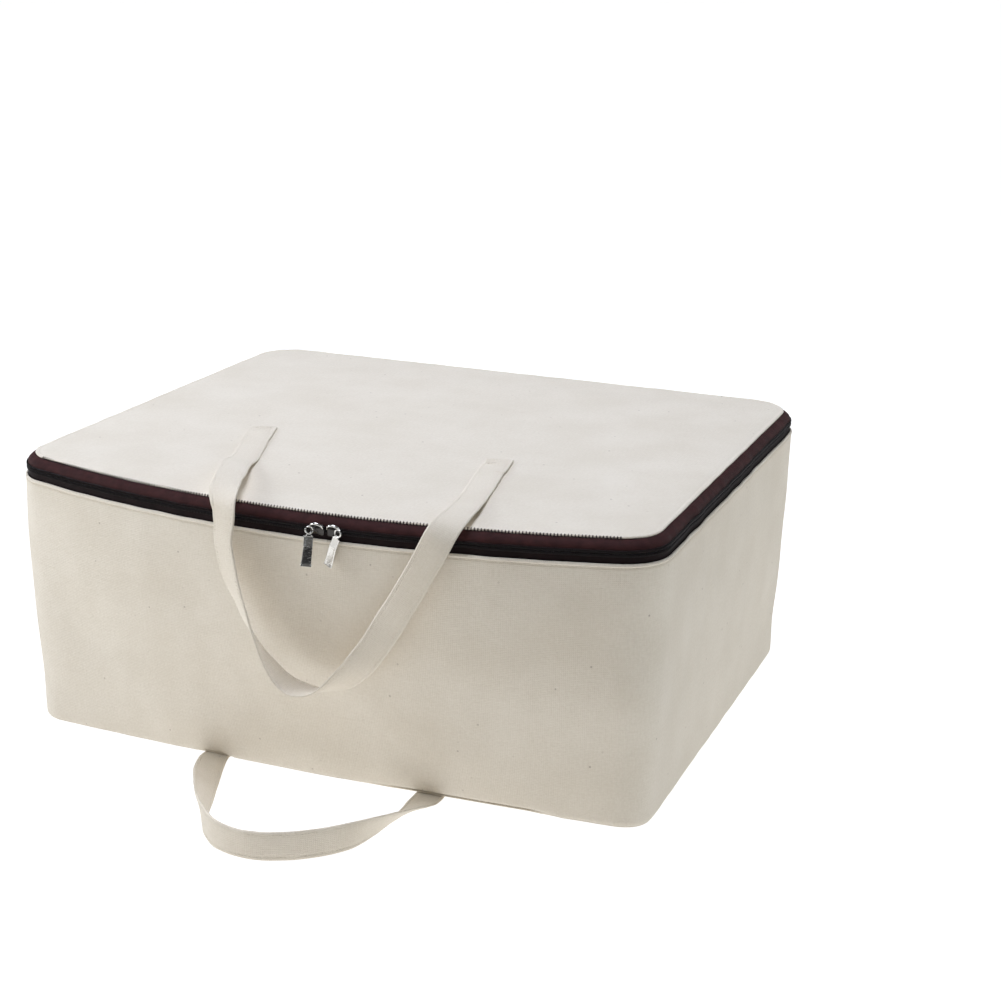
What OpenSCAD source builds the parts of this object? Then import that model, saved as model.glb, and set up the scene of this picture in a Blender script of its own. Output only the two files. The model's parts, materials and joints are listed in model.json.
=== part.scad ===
// Zipped canvas storage box for under a bed.
// A sewn cotton bag in the shape of a box: canvas walls, a zipped lid and two strap handles.
// Frame: +Z up, +X to the right, the front faces -Y. The origin is the middle of the base, on the floor.
// Cross-sections that follow the zip are drawn as (outward offset from the wall, height).

/* [Box] */
// Width over the side walls at the top
box_w = 600; // [560:5:640]
// Depth from the back wall to the front corners, at the top
box_d = 490; // [460:5:520]
// How far the stuffed front wall bows forward at the top
front_bow = 53; // [46:1:60]
// How far the foot of the front wall bows forward
foot_bow = 10; // [6:1:14]
// How much narrower the foot is, on each side
foot_taper = 14; // [8:1:20]
// How much shorter the foot is, front and back
foot_taper_d = 8; // [6:1:12]
// Radius of the front vertical corners
front_corner_r = 45; // [38:1:52]
// Radius of the back vertical corners
back_corner_r = 50; // [44:1:56]
// Height of the wall, up to the fold below the zip
wall_h = 237; // [231:1:243]
// Thickness of the canvas with its hems
canvas_t = 2; // [1.8:0.1:2.2]
// Thickness of the base, with its interlining
base_t = 4; // [3.9:0.1:4.4]

/* [Zip] */
// Height from the wall's fold to the line where the teeth meet
zip_rise = 8; // [7.8:0.1:8.6]
// Height from that line to the top of the lid
lid_rise = 12; // [11.4:0.1:12.4]
// How far the lid's edge lies inside the wall's outer face
lid_inset = 9; // [8:0.5:11]
// Thickness of the woven tape
tape_t = 0.8; // [0.7:0.05:0.9]
// Width of one half of the coil
coil_w = 2.4; // [2:0.1:2.6]
// Thickness of the coil
coil_t = 1.6; // [1.4:0.1:1.7]

/* [Sliders and pulls] */
// Distance of the left slider from the middle of the front
left_slider_x = 21; // [20:1:24]
// Distance of the right slider from the middle of the front
right_slider_x = 36; // [35.5:0.5:40]
// Length of a slider along the zip
slider_len = 12; // [11:0.5:13]
// Length of a pull tab below its eye
pull_len = 30; // [26:1:34]
// Width of a pull tab
pull_w = 8.5; // [7.5:0.5:9.5]
// Thickness of a pull tab
pull_t = 1.2; // [1:0.1:1.4]

/* [Handles] */
// Width of the strap
strap_w = 25; // [22:1:27]
// Thickness of the folded and sewn strap
strap_t = 2.2; // [1.8:0.1:2.3]
// Length of each sewn-down strap end
sewn_len = 42; // [36:2:46]

/* [Hidden] */
canvas = [0.86, 0.83, 0.77];
canvas_shade = [0.80, 0.76, 0.69];
tape_red = [0.27, 0.14, 0.13];
tape_dark = [0.12, 0.09, 0.09];
nickel = [0.78, 0.77, 0.75];

FINE = 32;          // facets of small round features
front_steps = 36;   // straight stretches that the long front arc is drawn with
gap = 0.3;          // clearance between pieces that only lie near each other
eps = 0.02;         // clearance between pieces that are joined

// Levels
zip_z = wall_h + zip_rise;
lid_top = zip_z + lid_rise;
lid_z0 = lid_top - canvas_t;

// The zip line: the plan of the wall's outer face at the fold
half_w = box_w / 2;
back_y = box_d / 2;
chord_y = -box_d / 2;
arc_r = (half_w * half_w + front_bow * front_bow) / (2 * front_bow);
arc_cy = chord_y - front_bow + arc_r;
seam_x = half_w - 68;                               // the back seams and the ends of the zip

// Layers of the zip band, as outward offsets
tape_out = -(canvas_t + gap);
tape_in = tape_out - tape_t;
coil_in = tape_out + eps;
coil_out = coil_in + coil_t;
half_slot = 0.7;                                    // half the slit between the two halves of the zip
hidden_tape = 10;                                   // tape sewn out of sight behind the canvas
bend_z = zip_z + 3.5;                               // where the upper tape turns in to the lid
lid_tape_z = lid_z0 - gap - tape_t / 2;

// Sliders
plate_t = 1.2;
plate_h = 9.2;
outer_plate_in = coil_out + gap;
outer_plate_out = outer_plate_in + plate_t;
inner_plate_out = tape_in - 0.4;
inner_plate_t = 1.4;
inner_plate_h = 6.4;
post_h = 0.8;
bar_r = 0.8;
bar_out = outer_plate_out + 2.5;
bar_half = 4.2;
eye_r = 1.9;
eye_len = 5.6;
running_gap = 0.08;

// Bottom handle, where it leaves the foot of the front wall
bottom_exit_x = [-101, 105];
bottom_pivot_y = -248.2;        // where the loop starts to turn, just outside the foot
sewn_end_y = -246.6;            // where the sewn stretch ends
patch_y = -224;                 // near edge of the patches inside the base
channel_y = -252;               // the channels under the foot start in front of the wall
channel_h = 2.8;

// Routes of the straps. Each station is [middle of the strap, direction across the strap].
lid_route = [
    [[-122.5, -124, 258.6], [-0.9987, 0.0512, 0]],
    [[-101, -184, 260.3], [-0.95, -0.23, 0.08]],
    [[-92, -214, 265], [-0.95, -0.15, 0.15]],
    [[-77, -250, 268.5], [-0.98, 0, 0.10]],
    [[-63, -287, 268.5], [-0.98, 0.15, 0.05]],
    [[-54, -306, 262], [-0.96, 0.27, 0]],
    [[-51, -312, 248], [-0.94, 0.34, 0]],
    [[-51.5, -313, 230], [-0.90, 0.44, 0.02]],
    [[-48, -314, 211], [-0.88, 0.46, 0.08]],
    [[-42, -315, 192], [-0.84, 0.52, 0.14]],
    [[-34.5, -315, 174], [-0.76, 0.62, 0.18]],
    [[-26.5, -315, 156], [-0.66, 0.72, 0.20]],
    [[-17, -315, 139], [-0.52, 0.82, 0.20]],
    [[-6.5, -315, 125], [-0.30, 0.94, 0.18]],
    [[4, -315, 115.5], [-0.10, 0.99, 0.14]],
    [[18, -315, 110.5], [0.05, 0.99, 0.10]],
    [[38, -314, 113], [0.26, 0.94, -0.20]],
    [[58, -312, 126], [0.56, 0.64, -0.50]],
    [[78, -310, 150], [0.80, 0.32, -0.55]],
    [[96, -308, 180], [0.86, 0.10, -0.50]],
    [[113, -307, 210], [0.87, 0.03, -0.50]],
    [[128.5, -305, 240], [0.88, 0.05, -0.47]],
    [[135.5, -300, 256], [0.93, 0.12, -0.38]],
    [[138, -286, 264], [0.96, 0.15, -0.20]],
    [[134, -252, 263.5], [0.99, 0.12, -0.05]],
    [[124, -198, 260], [0.99, 0.13, 0]],
    [[111.5, -136, 258.6], [0.9987, -0.0512, 0]]
];
bottom_route = [
    [[-101, bottom_pivot_y, 1.4], [-1, 0, 0]],
    [[-96.5, -263, 3.2], [-1, 0, 0.10]],
    [[-83, -295, 7.4], [-0.93, 0, 0.36]],
    [[-67, -328, 11.0], [-0.72, 0, 0.69]],
    [[-50, -362, 12.8], [-0.35, 0, 0.94]],
    [[-34, -384, 12.9], [0, 0, 1]],
    [[-14, -400, 12.8], [0, 0, 1]],
    [[12, -406, 12.8], [0, 0, 1]],
    [[38, -400, 12.8], [0, 0, 1]],
    [[64, -383, 12.8], [0, 0, 1]],
    [[84, -361, 12.7], [0.10, 0, 0.99]],
    [[96, -336, 12.1], [0.42, 0, 0.88]],
    [[103, -308, 9.5], [0.72, 0, 0.64]],
    [[105.5, -278, 5.3], [0.94, 0, 0.26]],
    [[105.3, -262, 2.6], [1, 0, 0.04]],
    [[105, bottom_pivot_y, 1.4], [1, 0, 0]]
];
steps_per_station = 3;

// The two ends of the lid handle: the line that it turns about, and the sewn stretch behind it
lid_pivot = [lid_route[0][0], lid_route[len(lid_route) - 1][0]];
lid_sewn_angle = [108.5, 99.5];      // direction of each sewn stretch, from +X
pivot_room = 1.6;                    // free stretch between the sewn end and the loop

// ---- Plan outlines -------------------------------------------------------------------------------

// How far the wall has opened out from its foot at height z, from 0 to 1
function opened(z) = sin(90 * z / wall_h);

// A fan of points on a circle
function arc_points(cx, cy, r, from, to, count) =
    [for (i = [0:count]) let (a = from + (to - from) * i / count) [cx + r * cos(a), cy + r * sin(a)]];

function mirrored(points) = [for (i = [len(points) - 1:-1:0]) [-points[i].x, points[i].y]];

// The wall's line at height z, moved inwards by inset: from the right back seam round the front to the left one
function wall_line(z, inset) =
    let (
        s = opened(z),
        hw = half_w - foot_taper * (1 - s),
        yb = back_y - foot_taper_d * (1 - s),
        yf = chord_y + foot_taper_d * (1 - s),
        bow = foot_bow + (front_bow - foot_bow) * s,
        r_arc = (hw * hw + bow * bow) / (2 * bow),
        cy_arc = yf - bow + r_arc,
        cx = hw - front_corner_r,
        cy = cy_arc - sqrt(pow(r_arc - front_corner_r, 2) - cx * cx),
        turn = atan2(cy - cy_arc, cx),
        right = concat(
            [[seam_x, yb - inset]],
            arc_points(hw - back_corner_r, yb - back_corner_r, back_corner_r - inset, 90, 0, 8),
            [for (k = [1:3]) [hw - inset, yb - back_corner_r + (cy - yb + back_corner_r) * k / 4]],
            arc_points(cx, cy, front_corner_r - inset, 0, turn, 8)
        ),
        front = arc_points(0, cy_arc, r_arc - inset, turn, -180 - turn, front_steps)
    )
    concat(right, [for (i = [1:len(front) - 2]) front[i]], mirrored(right));

function backwards(points) = [for (i = [len(points) - 1:-1:0]) points[i]];

// ---- Sweeps --------------------------------------------------------------------------------------

// A band along the zip line, from one back seam round the front to the other, between two (offset, height) corners
module along_zip(low, high) {
    translate([0, 0, low.y])
        linear_extrude(high.y - low.y)
            polygon(concat(wall_line(wall_h, -high.x), backwards(wall_line(wall_h, -low.x))));
}

// The same sweep for a section with any outline of (offset, height) points
module section_along_zip(section) {
    n = len(wall_line(0, 0));
    m = len(section);
    lines = [for (p = section) wall_line(wall_h, -p.x)];
    points = [for (i = [0:n - 1], k = [0:m - 1]) [lines[k][i].x, lines[k][i].y, section[k].y]];
    sides = [for (i = [0:n - 2], k = [0:m - 1])
        let (a = m * i + k, b = m * i + (k + 1) % m)
        each [[a, b, b + m], [a, b + m, a + m]]];
    last = m * (n - 1);
    ends = [for (k = [0:m / 2 - 2]) each [
        [k, m - 1 - k, m - 2 - k], [k, m - 2 - k, k + 1],
        [last + k, last + m - 2 - k, last + m - 1 - k], [last + k, last + k + 1, last + m - 2 - k]
    ]];
    polyhedron(points, concat(sides, ends));
}

// A section carried straight along the back, between the ends of the zip
module along_back(section) {
    translate([-seam_x + gap, back_y, 0])
        rotate([90, 0, 90])
            linear_extrude(2 * (seam_x - gap)) polygon(section);
}

// A section of even thickness along a bent line of (offset, height) points
function bent_strip(line, t) =
    let (
        n = len(line),
        normals = [for (i = [0:n - 1])
            let (
                u = unit(i == 0 ? line[1] - line[0] : line[i] - line[i - 1]),
                v = unit(i == n - 1 ? line[i] - line[i - 1] : line[i + 1] - line[i]),
                mid = unit(u + v)
            )
            [-mid.y, mid.x] / (mid * u)]
    )
    concat(
        [for (i = [0:n - 1]) line[i] + normals[i] * t / 2],
        [for (i = [n - 1:-1:0]) line[i] - normals[i] * t / 2]
    );

// One value of a smooth curve through four neighbours, at share t of the middle stretch
function smooth(p0, p1, p2, p3, t) =
    0.5 * (2 * p1 + (p2 - p0) * t + (2 * p0 - 5 * p1 + 4 * p2 - p3) * t * t
        + (3 * p1 - p0 - 3 * p2 + p3) * t * t * t);

// Column k of a route's stations, smoothed to several steps for each station
function smoothed(route, k) =
    let (n = len(route), at = function (i) route[min(max(i, 0), n - 1)][k])
    concat(
        [for (i = [0:n - 2], s = [0:steps_per_station - 1])
            smooth(at(i - 1), at(i), at(i + 1), at(i + 2), s / steps_per_station)],
        [route[n - 1][k]]
    );

function unit(v) = v / norm(v);

function flat(v) = [v.x, v.y];

// A flat strap along a route: a rectangle carried along it, with its width across the strap.
// Its two end faces lie along the line that the strap swings about.
module strap(route, w, t) {
    middle = smoothed(route, 0);
    across = smoothed(route, 1);
    n = len(middle);
    corners = [for (i = [0:n - 1])
        let (
            along = unit(middle[min(i + 1, n - 1)] - middle[max(i - 1, 0)]),
            is_end = i == 0 || i == n - 1,
            wide = is_end ? unit(across[i]) : unit(across[i] - (across[i] * along) * along),
            thick = unit(cross(along, wide))
        )
        each [
            middle[i] + wide * w / 2 + thick * t / 2, middle[i] - wide * w / 2 + thick * t / 2,
            middle[i] - wide * w / 2 - thick * t / 2, middle[i] + wide * w / 2 - thick * t / 2
        ]];
    sides = [for (i = [0:n - 2], k = [0:3])
        let (a = 4 * i + k, b = 4 * i + (k + 1) % 4)
        each [[a, b, b + 4], [a, b + 4, a + 4]]];
    last = 4 * (n - 1);
    ends = [[2, 1, 0], [3, 2, 0], [last, last + 1, last + 2], [last, last + 2, last + 3]];
    polyhedron(corners, concat(sides, ends));
}

// ---- Walls and base ------------------------------------------------------------------------------

// Where the bottom handle's strap passes under the foot of the wall
module strap_channels(length) {
    for (x = bottom_exit_x)
        translate([x - strap_w / 2 - 1, channel_y, -1])
            cube([strap_w + 2, length, channel_h + 1]);
}

module bottom_panel() {
    color(canvas_shade) difference() {
        linear_extrude(base_t) polygon(wall_line(0, canvas_t + gap));
        strap_channels(sewn_len + 26);
    }
}

// The front and both sides in one strip, leaning out from the foot and bowed by the contents
module wall_band() {
    levels = [0, 30, 65, 100, 140, 180, 212, wall_h];
    n = len(wall_line(0, 0));
    ring = 2 * n;
    points = [for (z = levels) each concat(
        [for (p = wall_line(z, 0)) [p.x, p.y, z]],
        [for (p = wall_line(z, canvas_t)) [p.x, p.y, z]]
    )];
    outer = [for (j = [0:len(levels) - 2], i = [0:n - 2])
        let (a = j * ring + i)
        each [[a, a + 1, a + ring + 1], [a, a + ring + 1, a + ring]]];
    inner = [for (j = [0:len(levels) - 2], i = [0:n - 2])
        let (a = j * ring + n + i)
        each [[a, a + ring, a + ring + 1], [a, a + ring + 1, a + 1]]];
    edges = [for (j = [0:len(levels) - 2])
        let (a = j * ring, b = a + n, c = a + n - 1, d = b + n - 1)
        each [[a, a + ring, b + ring], [a, b + ring, b], [c, d, d + ring], [c, d + ring, c + ring]]];
    top = (len(levels) - 1) * ring;
    caps = [for (i = [0:n - 2]) each [
        [i, n + i, n + i + 1], [i, n + i + 1, i + 1],
        [top + i, top + n + i + 1, top + n + i], [top + i, top + i + 1, top + n + i + 1]
    ]];
    color(canvas) difference() {
        polyhedron(points, concat(outer, inner, edges, caps));
        strap_channels(18);
    }
}

// The back wall leans out a little less than the front
module back_panel() {
    lean = atan2(foot_taper_d, wall_h);
    color(canvas)
        translate([-seam_x + gap, back_y - foot_taper_d - canvas_t, 0])
            rotate([-lean, 0, 0])
                translate([0, 0, 0.1])
                    cube([2 * (seam_x - gap), canvas_t, zip_z - half_slot - 0.5]);
}

// Folded tape that covers a back seam on the inside
module back_seam_binding(side) {
    lean = atan2(foot_taper_d, wall_h);
    color(canvas_shade)
        translate([side * seam_x - 5, back_y - foot_taper_d - canvas_t - 1.8, 0])
            rotate([-lean, 0, 0])
                translate([0, 0, base_t + 7])
                    cube([10, 1.2, wall_h - base_t - 20]);
}

// Folded tape that covers the bottom seam on the inside
module bottom_seam_binding() {
    color(canvas_shade) translate([0, 0, base_t + gap]) linear_extrude(1.2)
        difference() {
            polygon(wall_line(0, canvas_t + 1));
            polygon(wall_line(0, canvas_t + 11));
        }
}

module wall_zip_binding() {
    color(canvas_shade) along_zip([tape_in - 1.3, wall_h - hidden_tape], [tape_in - 0.3, wall_h - 2]);
}

// Square of canvas inside the base, over a sewn strap end
module bottom_patch(x) {
    color(canvas_shade)
        translate([x - 24, patch_y, base_t + 0.1])
            cube([48, 48, 1.2]);
}

// The stretch of the bottom handle's strap that is sewn under the base
module bottom_handle_end(x) {
    color(canvas)
        translate([x - strap_w / 2, sewn_end_y, 0.25])
            cube([strap_w, sewn_len + 14, strap_t]);
}

// ---- Zip ------------------------------------------------------------------------------------------

module lower_zip_tape() {
    color(tape_dark) along_zip([tape_in, wall_h - hidden_tape], [tape_out, zip_z - half_slot]);
}

module lower_zip_coil() {
    color(tape_dark) along_zip([coil_in, zip_z - half_slot - coil_w], [coil_out, zip_z - half_slot]);
}

// Rises from the teeth and turns in under the lid's edge
module upper_zip_tape() {
    middle = (tape_in + tape_out) / 2;
    color(tape_red) section_along_zip(bent_strip([
        [middle, zip_z + half_slot], [middle, bend_z],
        [-lid_inset - 1, lid_tape_z], [-lid_inset - 9, lid_tape_z]
    ], tape_t));
}

module upper_zip_coil() {
    color(tape_dark) along_zip([coil_in, zip_z + half_slot], [coil_out, zip_z + half_slot + coil_w]);
}

// ---- Lid ------------------------------------------------------------------------------------------

module lid_panel() {
    color(canvas) translate([0, 0, lid_z0]) linear_extrude(canvas_t) polygon(wall_line(wall_h, lid_inset));
}

module lid_zip_binding() {
    color(canvas_shade) along_zip([-lid_inset - 9, lid_tape_z - 1.9], [-lid_inset - 3, lid_tape_z - 0.7]);
}

// The canvas between the two ends of the zip: the fabric hinge's upper half, which turns with the lid
module back_gusset() {
    color(canvas) along_back(bent_strip([
        [-1.2, zip_z + half_slot], [-1.2, zip_z + 4],
        [-lid_inset - 1, lid_tape_z], [-lid_inset - 9, lid_tape_z]
    ], tape_t));
}

// The stretch of the lid handle's strap that is sewn on top of the lid
module lid_handle_end(i) {
    inwards = [cos(lid_sewn_angle[i]), sin(lid_sewn_angle[i])];
    near = flat(lid_pivot[i]) + inwards * pivot_room / inwards.y;
    far = flat(lid_pivot[i]) + inwards * (pivot_room + sewn_len);
    across = [-inwards.y, inwards.x] * strap_w / 2;
    along_pivot = flat(unit(lid_pivot[0] - lid_pivot[1])) * strap_w / 2;
    color(canvas)
        translate([0, 0, lid_top + 0.1])
            linear_extrude(strap_t)
                polygon([near + along_pivot, near - along_pivot, far - across, far + across]);
}

// Square of canvas under the lid, behind a sewn strap end
module lid_patch(i) {
    color(canvas_shade)
        translate([lid_pivot[i].x, lid_pivot[i].y, lid_z0 - 1.3])
            rotate([0, 0, lid_sewn_angle[i]])
                translate([0, -24, 0])
                    cube([48, 48, 1.2]);
}

// ---- Sliders --------------------------------------------------------------------------------------

// Puts a slider's own frame on the front of the zip: x along the zip, y inwards, z up
module on_front_zip(x) {
    translate([0, arc_cy, zip_z])
        rotate([0, 0, asin(x / arc_r)])
            translate([0, -arc_r, 0]) children();
}

// Cast slider: an outer and an inner plate joined by a thin post through the slit
module slider(x) {
    corner_r = 2;
    color(nickel) on_front_zip(x) {
        translate([0, -outer_plate_in, 0]) rotate([90, 0, 0]) linear_extrude(plate_t) {
            square([slider_len, plate_h - 2 * corner_r], center = true);
            square([slider_len - 2 * corner_r, plate_h], center = true);
            for (sx = [-1, 1], sz = [-1, 1])
                translate([sx * (slider_len / 2 - corner_r), sz * (plate_h / 2 - corner_r)])
                    circle(corner_r, $fn = FINE);
        }
        translate([-slider_len / 2 + 0.5, -inner_plate_out, -inner_plate_h / 2])
            cube([slider_len - 1, inner_plate_t, inner_plate_h]);
        translate([-1.5, -outer_plate_in - 0.1, -post_h / 2])
            cube([3, outer_plate_in - inner_plate_out + 0.2, post_h]);
    }
}

// The staple on the slider that the pull tab hangs from
module slider_bridge(x) {
    color(nickel) on_front_zip(x) {
        translate([-bar_half, -bar_out, 0]) rotate([0, 90, 0]) cylinder(r = bar_r, h = 2 * bar_half, $fn = FINE);
        for (sx = [-1, 1]) translate([sx * bar_half, 0, 0]) {
            translate([0, -bar_out, 0]) sphere(bar_r, $fn = FINE);
            translate([0, -outer_plate_out - eps, 0]) rotate([90, 0, 0])
                cylinder(r = bar_r, h = bar_out - outer_plate_out - eps, $fn = FINE);
        }
    }
}

// Flat nickel tab that hangs from the bridge by its eye
module pull(x) {
    neck_w = 5;
    neck_len = 8;
    color(nickel) on_front_zip(x) translate([0, -bar_out, 0]) difference() {
        union() {
            translate([-eye_len / 2, 0, 0]) rotate([0, 90, 0]) cylinder(r = eye_r, h = eye_len, $fn = FINE);
            translate([-neck_w / 2, -pull_t / 2, -neck_len]) cube([neck_w, pull_t, neck_len]);
            translate([0, pull_t / 2, 0]) rotate([90, 0, 0]) linear_extrude(pull_t) polygon([
                [-neck_w / 2, -neck_len + 2], [-pull_w / 2 + 0.5, -neck_len - 2], [-pull_w / 2, -pull_len],
                [pull_w / 2, -pull_len], [pull_w / 2 - 0.5, -neck_len - 2], [neck_w / 2, -neck_len + 2]
            ]);
        }
        translate([-eye_len, 0, 0]) rotate([0, 90, 0])
            cylinder(r = bar_r + running_gap, h = 2 * eye_len, $fn = FINE);
    }
}

// ---- Handles --------------------------------------------------------------------------------------

module lid_handle() {
    color(canvas) strap(lid_route, strap_w, strap_t);
}

module bottom_handle() {
    color(canvas) strap(bottom_route, strap_w, strap_t);
}

bottom_panel();
wall_band();
back_panel();
back_seam_binding(-1);  // left_back_seam_binding
back_seam_binding(1);  // right_back_seam_binding
bottom_seam_binding();
wall_zip_binding();
lower_zip_tape();
lower_zip_coil();
bottom_handle_end(bottom_exit_x[0]);  // bottom_handle_left_end
bottom_handle_end(bottom_exit_x[1]);  // bottom_handle_right_end
bottom_patch(bottom_exit_x[0]);  // bottom_left_patch
bottom_patch(bottom_exit_x[1]);  // bottom_right_patch
lid_panel();
lid_zip_binding();
upper_zip_tape();
upper_zip_coil();
back_gusset();
lid_handle_end(0);  // lid_handle_left_end
lid_handle_end(1);  // lid_handle_right_end
lid_patch(0);  // lid_left_patch
lid_patch(1);  // lid_right_patch
slider(left_slider_x);  // left_slider
slider_bridge(left_slider_x);  // left_slider_bridge
pull(left_slider_x);  // left_pull
slider(right_slider_x);  // right_slider
slider_bridge(right_slider_x);  // right_slider_bridge
pull(right_slider_x);  // right_pull
lid_handle();
bottom_handle();
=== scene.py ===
import json
import math

import bpy
import numpy as np
from mathutils import Matrix, Vector


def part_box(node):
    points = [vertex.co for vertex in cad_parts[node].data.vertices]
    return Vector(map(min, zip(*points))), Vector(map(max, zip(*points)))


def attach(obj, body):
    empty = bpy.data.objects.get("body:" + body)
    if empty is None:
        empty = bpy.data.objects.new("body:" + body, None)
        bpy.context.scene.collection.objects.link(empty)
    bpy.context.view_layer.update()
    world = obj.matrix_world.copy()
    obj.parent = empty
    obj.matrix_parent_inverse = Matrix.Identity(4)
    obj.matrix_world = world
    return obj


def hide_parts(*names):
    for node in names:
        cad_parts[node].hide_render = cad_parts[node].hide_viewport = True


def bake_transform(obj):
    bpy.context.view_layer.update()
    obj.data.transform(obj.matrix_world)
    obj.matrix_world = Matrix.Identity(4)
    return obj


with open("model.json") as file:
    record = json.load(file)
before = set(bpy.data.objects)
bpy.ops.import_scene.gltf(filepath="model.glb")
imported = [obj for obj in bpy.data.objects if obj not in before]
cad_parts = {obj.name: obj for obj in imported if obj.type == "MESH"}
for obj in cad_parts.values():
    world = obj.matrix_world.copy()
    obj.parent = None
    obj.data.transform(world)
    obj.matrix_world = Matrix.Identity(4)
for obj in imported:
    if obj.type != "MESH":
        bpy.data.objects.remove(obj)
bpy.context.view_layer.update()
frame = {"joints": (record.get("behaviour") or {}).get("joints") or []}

# A zipped storage bag in cotton canvas. Everything is in metres, in the frame of the solids:
# +Z up, the front faces -Y. "Offset" is always the distance outwards from the wall's outer face.

# ---- Sizes read from the frame ----

WALL_LOW, WALL_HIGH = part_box("wall_band")
LID_LOW, LID_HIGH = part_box("lid_panel")
JOINTS = {joint["name"]: joint for joint in frame["joints"]}

HALF_W = WALL_HIGH.x
BACK_Y = WALL_HIGH.y
WALL_H = WALL_HIGH.z
CHORD_Y = -BACK_Y  # where the front corners are
BOW = CHORD_Y - WALL_LOW.y  # how far the stuffed front bows forward
LID_TOP = LID_HIGH.z
LID_INSET = HALF_W - LID_HIGH.x
ZIP_Z = JOINTS["lid_hinge"]["pos_m"][2]

# ---- Sizes of the bag's shape ----

FRONT_R = 0.045  # front vertical corners
BACK_R = 0.050  # back vertical corners
FOOT_BOW = 0.010
FOOT_TAPER = 0.006  # the foot is narrower than the top, on each side
FOOT_TAPER_D = 0.006  # the same at the front and the back
FOOT_CORNER = 0.018  # the front corners are this much tighter at the foot
SEAM_X = 0.232  # the two vertical back seams
CANVAS_T = 0.0018
FOOT_ROUND = 0.006  # how far the foot rolls in to its seam
FOOT_GAP = 0.0006  # the wall stands this far off the floor
EXIT_LIFT = 0.0030  # the foot rises over the bottom handle
EXIT_HALF_W = 0.017
SEAM_LIFT = 0.0038  # and where the bottom seam shows
HEM = 0.0036  # stitched hem below the zip
STRAP_EXITS = (-0.101, 0.105)  # where the bottom handle comes out from under the bag

# ---- Sizes of the zip ----

TAPE_T = 0.0008
TAPE_FACE = -0.0023  # offset of the tape's outer face
SLIT = 0.0007  # half the slit between the two halves
COIL_W = 0.0024
COIL_H = 0.0016
COIL_PITCH = 0.0015
HIDDEN_TAPE = 0.010  # how much of the tape is sewn in behind the wall
BEND_Z = ZIP_Z + 0.0035  # where the upper tape turns in to the lid
LID_TAPE_Z = LID_LOW.z - 0.0007

# ---- Sizes of the straps ----

STRAP_W = 0.025
STRAP_T = 0.0022
EDGE_STITCH = 0.0028  # distance of the stitch rows from the strap's edge
SEWN_LEN = 0.042  # how much of the lid handle is sewn down at each end
PATCH_SIZE = 0.048
PATCH_T = 0.0014
LID_HEADINGS = {"left": 108.5, "right": 99.5}  # which way its sewn ends point, in degrees from +X

# Routes of the straps, the same as in the solids, in millimetres.
# Each station is the middle of the strap (x, y, z) and the direction across it (x, y, z).
LID_ROUTE = np.array([
    (-122.5, -124, 258.6, -0.9987, 0.0512, 0),
    (-101, -184, 260.3, -0.95, -0.23, 0.08),
    (-92, -214, 265, -0.95, -0.15, 0.15),
    (-77, -250, 268.5, -0.98, 0, 0.10),
    (-63, -287, 268.5, -0.98, 0.15, 0.05),
    (-54, -306, 262, -0.96, 0.27, 0),
    (-51, -312, 248, -0.94, 0.34, 0),
    (-51.5, -313, 230, -0.90, 0.44, 0.02),
    (-48, -314, 211, -0.88, 0.46, 0.08),
    (-42, -315, 192, -0.84, 0.52, 0.14),
    (-34.5, -315, 174, -0.76, 0.62, 0.18),
    (-26.5, -315, 156, -0.66, 0.72, 0.20),
    (-17, -315, 139, -0.52, 0.82, 0.20),
    (-6.5, -315, 125, -0.30, 0.94, 0.18),
    (4, -315, 115.5, -0.10, 0.99, 0.14),
    (18, -315, 110.5, 0.05, 0.99, 0.10),
    (38, -314, 113, 0.26, 0.94, -0.20),
    (58, -312, 126, 0.56, 0.64, -0.50),
    (78, -310, 150, 0.80, 0.32, -0.55),
    (96, -308, 180, 0.86, 0.10, -0.50),
    (113, -307, 210, 0.87, 0.03, -0.50),
    (128.5, -305, 240, 0.88, 0.05, -0.47),
    (135.5, -300, 256, 0.93, 0.12, -0.38),
    (138, -286, 264, 0.96, 0.15, -0.20),
    (134, -252, 263.5, 0.99, 0.12, -0.05),
    (124, -198, 260, 0.99, 0.13, 0),
    (111.5, -136, 258.6, 0.9987, -0.0512, 0),
])
BOTTOM_ROUTE = np.array([
    (-101, -248.2, 1.4, -1, 0, 0),
    (-96.5, -263, 3.2, -1, 0, 0.10),
    (-83, -295, 7.4, -0.93, 0, 0.36),
    (-67, -328, 11.0, -0.72, 0, 0.69),
    (-50, -362, 12.8, -0.35, 0, 0.94),
    (-34, -384, 12.9, 0, 0, 1),
    (-14, -400, 12.8, 0, 0, 1),
    (12, -406, 12.8, 0, 0, 1),
    (38, -400, 12.8, 0, 0, 1),
    (64, -383, 12.8, 0, 0, 1),
    (84, -361, 12.7, 0.10, 0, 0.99),
    (96, -336, 12.1, 0.42, 0, 0.88),
    (103, -308, 9.5, 0.72, 0, 0.64),
    (105.5, -278, 5.3, 0.94, 0, 0.26),
    (105.3, -262, 2.6, 1, 0, 0.04),
    (105, -248.2, 1.4, 1, 0, 0),
])


# ---- Numbers ----


def step(value, low, high):
    """0 below low, 1 above high, smooth between."""
    t = np.clip((value - low) / (high - low), 0, 1)
    return t * t * (3 - 2 * t)


def waves(x, y, length, seed, count=10):
    """Soft unevenness of about -1 to 1, with bumps about length across."""
    rng = np.random.default_rng(seed)
    total = np.zeros(np.broadcast(x, y).shape)
    for _ in range(count):
        heading = rng.uniform(0, 2 * math.pi)
        k = math.pi / (length * rng.uniform(0.7, 1.6))
        phase = rng.uniform(0, 2 * math.pi)
        total += np.sin(k * (x * math.cos(heading) + y * math.sin(heading)) + phase)
    return total / math.sqrt(2 * count)


def unit(vectors):
    return vectors / np.linalg.norm(vectors, axis=-1, keepdims=True)


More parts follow.
